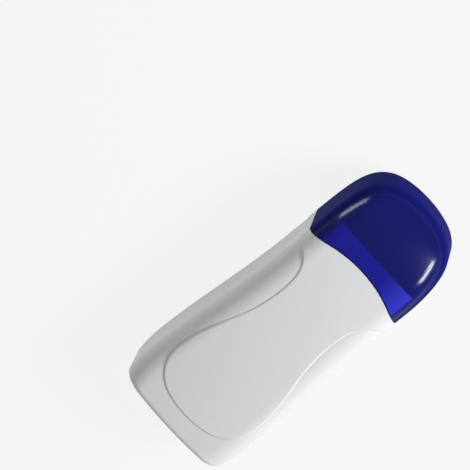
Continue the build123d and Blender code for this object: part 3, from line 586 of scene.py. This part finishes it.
def wax_section(inset):
    """Points round the wax, anticlockwise from the front right corner, as x, z and facing."""
    half_x = (wax_high.x - wax_low.x) / 2 - inset
    half_z = (wax_high.z - wax_low.z) / 2 - inset
    middle_z = (wax_high.z + wax_low.z) / 2
    corner = WAX_CORNER - inset
    points = []
    for quarter, straight in enumerate(SIDE_POINTS):
        centre_x = (half_x - corner) * (1, -1, -1, 1)[quarter]
        centre_z = (half_z - corner) * (1, 1, -1, -1)[quarter]
        next_x = (half_x - corner) * (-1, -1, 1, 1)[quarter]
        next_z = (half_z - corner) * (1, -1, -1, 1)[quarter]
        for step in range(CORNER_POINTS):
            angle = (quarter + step / CORNER_POINTS) * math.pi / 2
            x = centre_x + corner * math.cos(angle)
            z = centre_z + corner * math.sin(angle)
            points.append((x, middle_z + z, math.sin(angle)))
        out = (quarter + 1) * math.pi / 2
        for step in range(straight):
            share = step / straight
            x = centre_x + (next_x - centre_x) * share + corner * math.cos(out)
            z = centre_z + (next_z - centre_z) * share + corner * math.sin(out)
            points.append((x, middle_z + z, math.sin(out)))
    return points


print("points round the wax:", len(wax_section(HAIR)))

# %% [markdown]
# Two of the bubbles are large teardrops, one is a small one, and seven are small rounds. All
# of them are bowls: the wax is pressed in like part of a ball, and round its edge stands a
# low lip, where the cooling wax drew up.

# %% Bowl of a bubble
BOWL_SHARE = 0.8    # a bowl's floor, as a share of its bubble's depth
LIP_SHARE = 0.16    # a lip's height, as a share of the same
LIP_PLACE = 1.08    # where the lip is highest, as a share of the way to the edge
LIP_WIDTH = 0.09


def bowl(far, depth):
    """Depth of a bowl at a share of the way to its edge, with a low lip round it."""
    lip = -LIP_SHARE * depth * math.exp(-((far - LIP_PLACE) / LIP_WIDTH) ** 2)
    return depth * math.sqrt(max(0, 1 - far * far)) * BOWL_SHARE + lip


print("a bowl 3 mm deep reaches", round(bowl(0, 3), 2), "mm, its lip", round(-bowl(LIP_PLACE, 3), 2))

# %% [markdown]
# A teardrop is a long round that narrows to a point, so its width shrinks along its length.
# Each bubble is told by its centre, its size, its turn and its depth, all in millimetres,
# and the depths of all of them add up.

# %% Bubbles
TEARDROPS = (  # centre x and y, half length, half width, turn in degrees, depth
    (-9.0, -17.5, 10.5, 7.0, 25, 3.4),
    (15.0, -22.0, 9.5, 6.0, 20, 3.0),
    (9.5, -32.0, 2.8, 1.6, 60, 1.2),
)
ROUNDS = (  # centre x and y, radius, depth
    (-6.6, -45.5, 2.2, 0.9),
    (-5.7, 39.0, 0.9, 0.5),
    (6.0, 20.0, 0.7, 0.4),
    (17.0, 2.0, 0.8, 0.4),
    (-17.0, -38.0, 1.0, 0.5),
    (19.5, 12.0, 1.2, 0.5),
    (-19.0, 6.0, 0.8, 0.4),
)
BLUNT_END = 1.25    # a teardrop's blunt end is wider than its middle by this much
NARROWING = 0.62    # and this share of that is gone at its point


def pressed_in(x, y):
    """How far the front of the wax is pressed in at x, y, all in mm."""
    depth = 0
    for centre_x, centre_y, length, width, turn, deep in TEARDROPS:
        angle = math.radians(turn)
        along = (centre_y - y) * math.cos(angle) + (x - centre_x) * math.sin(angle)
        across = (x - centre_x) * math.cos(angle) - (centre_y - y) * math.sin(angle)
        share = max(-1, min(1, along / length))
        wide = width * BLUNT_END * (1 - NARROWING * (share + 1) / 2)
        depth += bowl(math.hypot(along / length, across / wide), deep)
    for centre_x, centre_y, radius, deep in ROUNDS:
        depth += bowl(math.hypot(x - centre_x, y - centre_y) / radius, deep)
    return depth


print("bubbles:", len(TEARDROPS) + len(ROUNDS), "the deepest", round(pressed_in(-9, -17.5), 2), "mm")

# %% [markdown]
# The bottle has a stepped foot, and the wax fills it too, so the section steps in near the
# closed end. One ring of points per row goes up the wax. Points that face the front are
# pressed in where a bubble lies.

# %% Rings of the wax
ROWS = 190
FOOT, FOOT_STEP = 5.7 * MM, 0.6 * MM
FACES_FRONT = 0.6

wax_shape = bmesh.new()
rings = []
for row in range(ROWS + 1):
    y = wax_low.y + (wax_high.y - wax_low.y) * row / ROWS
    inset = HAIR + (FOOT_STEP if y < wax_low.y + FOOT else 0)
    ring = []
    for x, z, facing in wax_section(inset):
        if facing > FACES_FRONT:
            z -= pressed_in(x / MM, y / MM) * MM
        ring.append(wax_shape.verts.new((x, y, z)))
    rings.append(ring)
print("rings:", len(rings), "points:", len(wax_shape.verts))

# %% [markdown]
# Four neighbouring points make a face, and the first and last rings are closed by a flat
# cap. The wax rides on the cartridge's body and stands for the plain wax of the frame, so
# the cartridge carries it out of the bay.

# %% Wax piece
for lower, upper in zip(rings, rings[1:]):
    for i in range(len(lower)):
        j = (i + 1) % len(lower)
        wax_shape.faces.new((lower[j], lower[i], upper[i], upper[j])).smooth = True
wax_shape.faces.new(rings[0])
wax_shape.faces.new(rings[-1][::-1])
bmesh.ops.recalc_face_normals(wax_shape, faces=wax_shape.faces)
wax_mesh = bpy.data.meshes.new("wax_with_bubbles")
wax_shape.to_mesh(wax_mesh)
wax_shape.free()
wax = bpy.data.objects.new("wax_with_bubbles", wax_mesh)
scene.collection.objects.link(wax)
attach(wax, "cartridge")
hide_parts("wax_fill")
print("wax faces:", len(wax_mesh.polygons))

# %% [markdown]
# ## Bottle and wax
# The bottle is a thin clear amber plastic. Real refracting walls against the wax would turn
# it olive and dark, so the bottle is a see-through skin instead: light reaches the wax and
# comes back honey-coloured. The wax scatters light a little below its surface.

# %% Bottle and wax finishes
bottle_amber = finish("bottle_amber", (0.95, 0.50, 0.04), rough=0.06, drift=0.02, grain_mm=3.0,
                      lift=0.02, IOR=1.5, Alpha=0.4)
wax_honey = finish("wax_honey", (0.88, 0.34, 0.006), rough=0.22, drift=0.1, grain_mm=6.0, lift=0.25,
                   IOR=1.44, Subsurface_Weight=0.25, Subsurface_Scale=0.003)
dress(bottle_amber, "cartridge_bottle")
dress(wax_honey, "wax_fill")
wax_mesh.materials.append(wax_honey)

# %% [markdown]
# ## Head, roller and cover
# The head frame is a satin grey, the roller a shade lighter, and the cover lighter still
# and glossier. Three near greys keep the three pieces apart when the head is open.

# %% Head finishes
head_grey = finish("head_grey", (0.42, 0.435, 0.455), rough=0.3, drift=0.02, grain_mm=0.5,
                   lift=0.08)
roller_grey = finish("roller_grey", (0.5, 0.52, 0.54), rough=0.35, drift=0.02, grain_mm=0.4,
                     lift=0.12)
cover_grey = finish("cover_grey", (0.60, 0.625, 0.64), rough=0.22, drift=0.02, grain_mm=0.6,
                    lift=0.05)
dress(head_grey, "head_frame")
dress(roller_grey, "roller")
dress(cover_grey, "head_cover")

# %% [markdown]
# ## Last settings
# Nothing here reaches past the solids. The view transform is the plain one, so that a colour
# comes out about as it is written above.

# %% Last settings
scene.view_settings.view_transform = "Standard"
